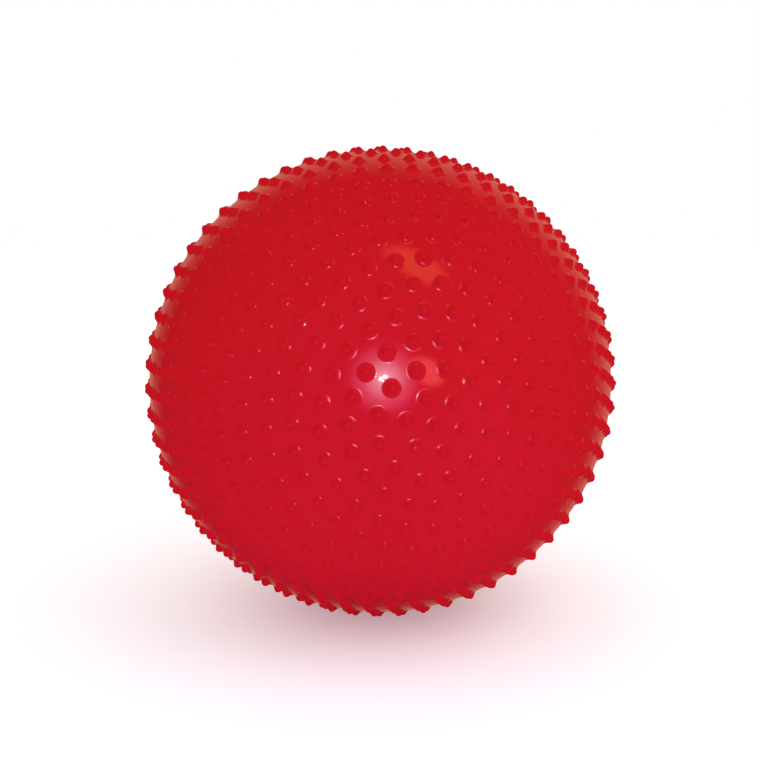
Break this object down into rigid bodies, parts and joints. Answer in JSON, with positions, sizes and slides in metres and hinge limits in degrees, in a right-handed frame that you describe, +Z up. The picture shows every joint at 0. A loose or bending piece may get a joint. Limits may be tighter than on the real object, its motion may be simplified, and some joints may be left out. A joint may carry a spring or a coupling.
{
  "type": "knobbly inflatable exercise ball",
  "caption": "Large red inflatable vinyl sensory exercise ball covered in small rounded knobs, with a push-in air plug in a valve seat.",
  "frame": {"origin": "on the floor under the centre of the ball", "axes": "+Z up; the mould axis lies along Y, with the valve at the +Y pole and the plain pole of knobs at -Y; +X to the right seen from -Y"},
  "size_m": [0.749, 0.7479, 0.743],
  "materials": {
    "red_vinyl": "glossy soft PVC",
    "valve_vinyl": "satin soft PVC",
    "white_plastic": "satin hard plastic"
  },
  "bodies": {
    "ball": {"ball_skin": "red_vinyl", "valve_seat": "valve_vinyl"},
    "plug": {"valve_plug": "white_plastic"}
  },
  "joints": [
    {"name": "plug_pull", "type": "slide", "parent": "ball", "child": "plug", "axis": [0, 1, 0], "range_m": [0, 0.04]}
  ]
}
